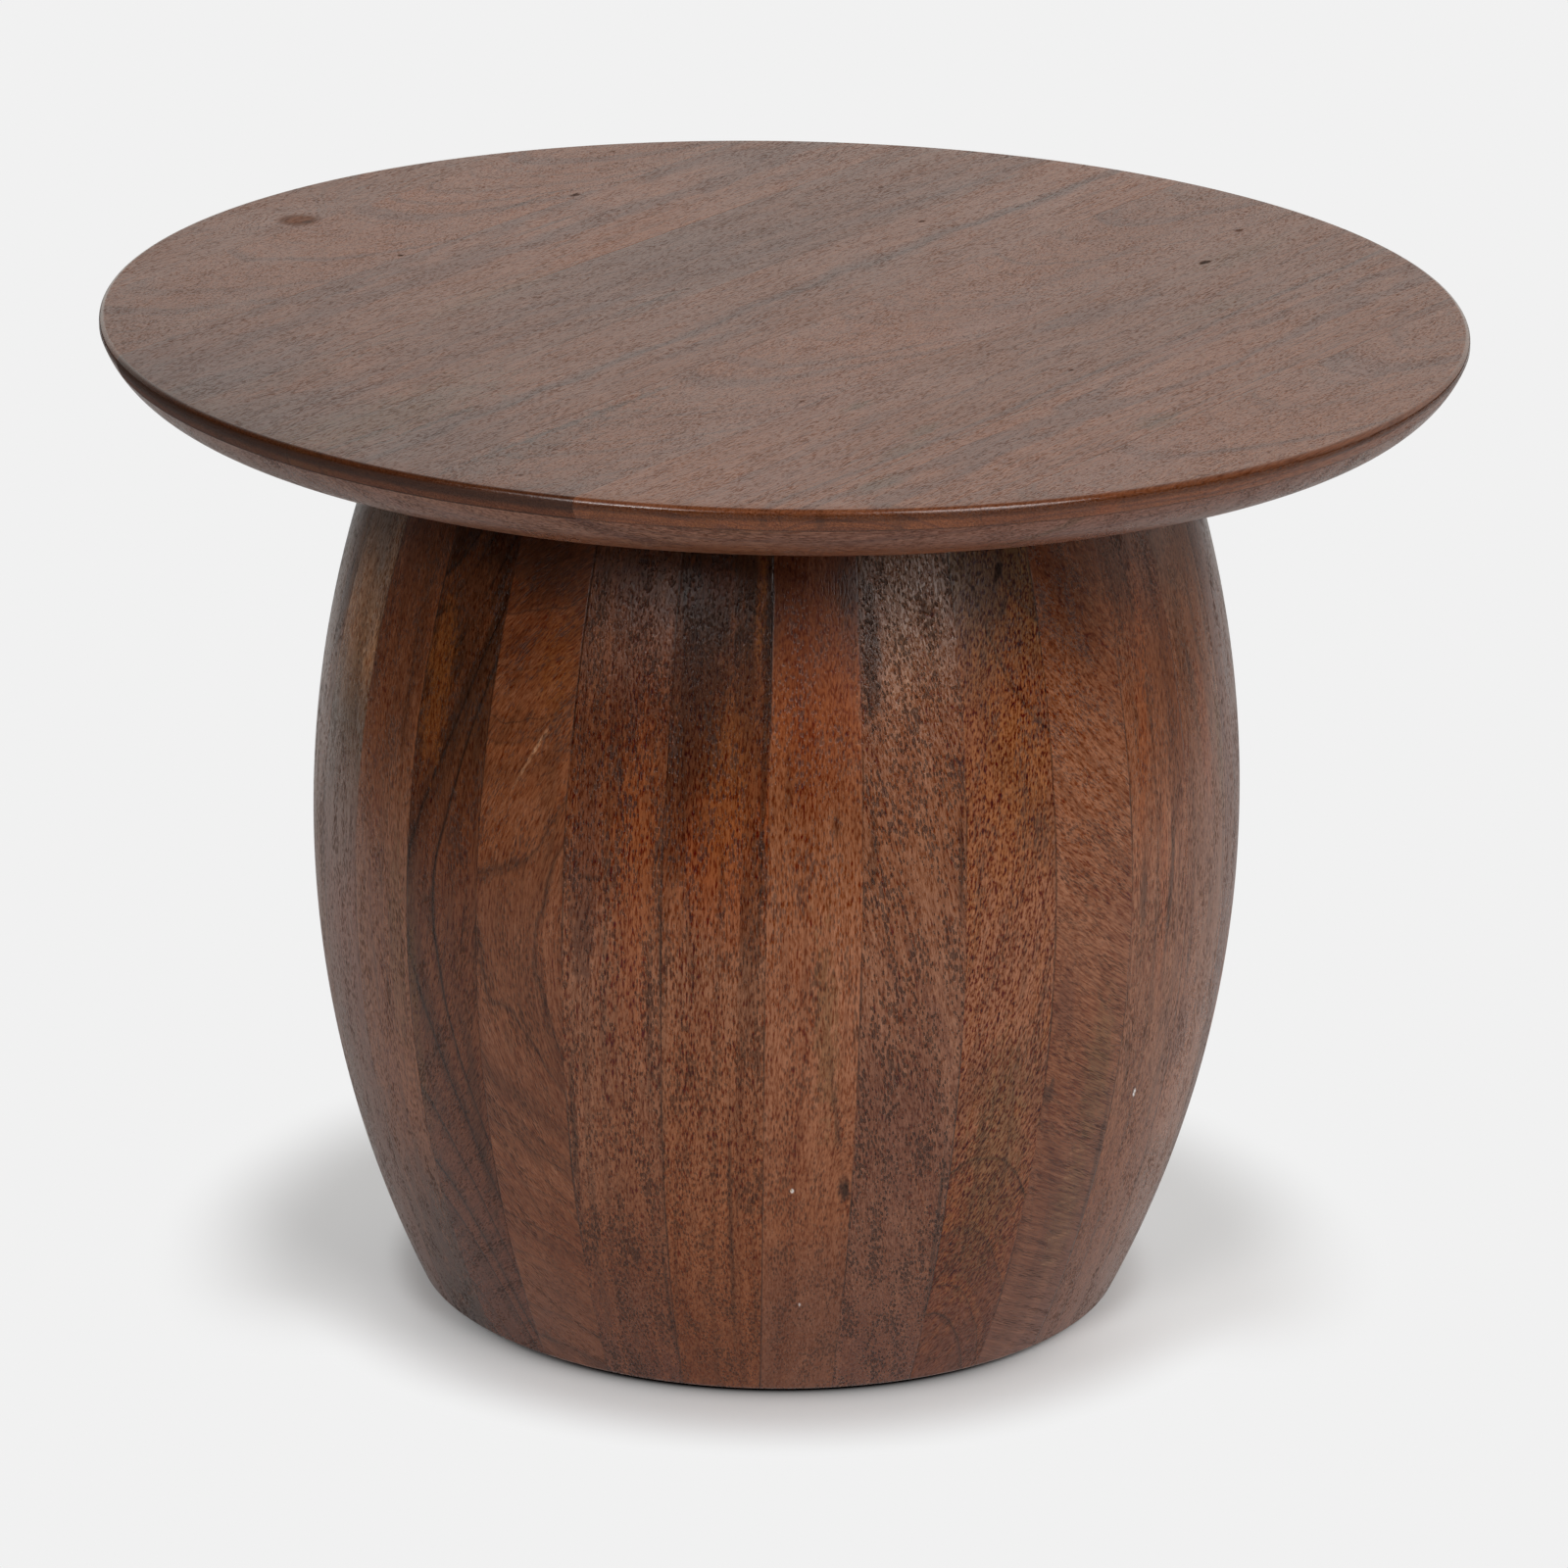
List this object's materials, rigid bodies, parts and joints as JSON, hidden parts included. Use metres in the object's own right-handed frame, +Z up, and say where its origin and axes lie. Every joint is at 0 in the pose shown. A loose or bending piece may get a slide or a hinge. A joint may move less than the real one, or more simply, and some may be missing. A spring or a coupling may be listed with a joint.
{
  "type": "accent table",
  "caption": "Round accent table: a disc top of glued boards with an undercut rim on a hollow barrel-shaped pedestal of coopered hardwood staves.",
  "frame": {"origin": "centre of the footprint, on the floor", "axes": "+Z up along the table's axis, -Y towards the front as pictured, +X to its right"},
  "size_m": [0.61, 0.61, 0.455],
  "materials": {
    "top_wood": "open grained hardwood, stained and lacquered to a satin sheen",
    "under_wood": "open grained hardwood, stained and lacquered to a satin sheen",
    "stave_straight": "open grained hardwood, stained and lacquered to a satin sheen",
    "stave_dark": "open grained hardwood, stained and lacquered to a satin sheen",
    "stave_orange": "open grained hardwood, stained and lacquered to a satin sheen",
    "stave_olive": "open grained hardwood, stained and lacquered to a satin sheen",
    "stave_mauve": "open grained hardwood, stained and lacquered to a satin sheen",
    "stave_russet": "open grained hardwood, stained and lacquered to a satin sheen",
    "inner_panel": "plain plywood, sanded",
    "zinc_insert": "zinc plated",
    "steel": "bright zinc plated",
    "pad_rubber": "matte"
  },
  "bodies": {
    "root": {"top_board_01": "top_wood", "top_board_02": "top_wood", "top_board_03": "top_wood", "top_board_04": "top_wood", "top_board_05": "top_wood", "top_board_06": "top_wood", "top_board_07": "top_wood", "top_board_08": "top_wood", "top_board_09": "top_wood", "under_board_01": "under_wood", "under_board_02": "under_wood", "under_board_03": "under_wood", "under_board_04": "under_wood", "under_board_05": "under_wood", "under_board_06": "under_wood", "under_board_07": "under_wood", "stave_01": "stave_straight", "stave_02": "stave_dark", "stave_03": "stave_orange", "stave_04": "stave_straight", "stave_05": "stave_dark", "stave_06": "stave_orange", "stave_07": "stave_mauve", "stave_08": "stave_olive", "stave_09": "stave_russet", "stave_10": "stave_russet", "stave_11": "stave_mauve", "stave_12": "stave_straight", "stave_13": "stave_olive", "stave_14": "stave_dark", "stave_15": "stave_mauve", "stave_16": "stave_straight", "stave_17": "stave_orange", "stave_18": "stave_mauve", "stave_19": "stave_dark", "stave_20": "stave_straight", "stave_21": "stave_russet", "stave_22": "stave_orange", "stave_23": "stave_olive", "stave_24": "stave_mauve", "stave_25": "stave_straight", "stave_26": "stave_russet", "stave_27": "stave_dark", "stave_28": "stave_olive", "stave_29": "stave_straight", "head_panel": "inner_panel", "foot_ring": "inner_panel", "threaded_inserts": "zinc_insert", "bolt_washers": "steel", "top_bolts": "steel", "floor_pads": "pad_rubber"}
  },
  "joints": []
}
